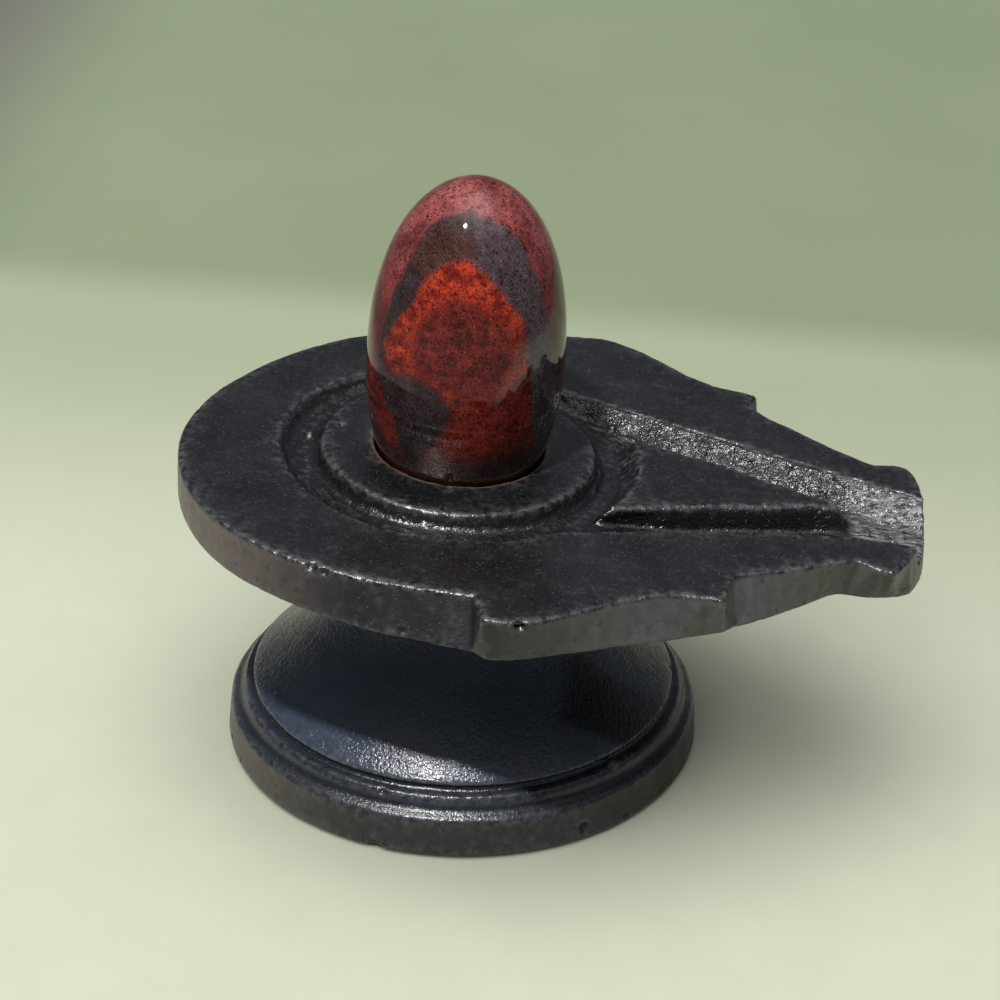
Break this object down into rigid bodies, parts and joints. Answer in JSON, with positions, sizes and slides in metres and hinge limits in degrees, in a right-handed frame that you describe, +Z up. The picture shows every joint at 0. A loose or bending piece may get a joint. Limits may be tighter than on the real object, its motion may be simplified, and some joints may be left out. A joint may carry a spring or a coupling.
{
  "type": "shiva lingam stone on yoni base",
  "caption": "Polished egg-shaped red stone standing in the round socket of a carved black stone base with a ring groove and a draining spout.",
  "frame": {"origin": "on the pedestal's turning axis, at the level the foot stands on", "axes": "+X along the spout, +Z up"},
  "size_m": [0.1463, 0.118, 0.1209],
  "materials": {
    "red_stone": "mirror-polished red jasper with dark grey bands",
    "black_stone": "satin black, oiled, tool marks in the channels"
  },
  "bodies": {
    "root": {"lingam_stone": "red_stone", "yoni_base": "black_stone"}
  },
  "joints": []
}
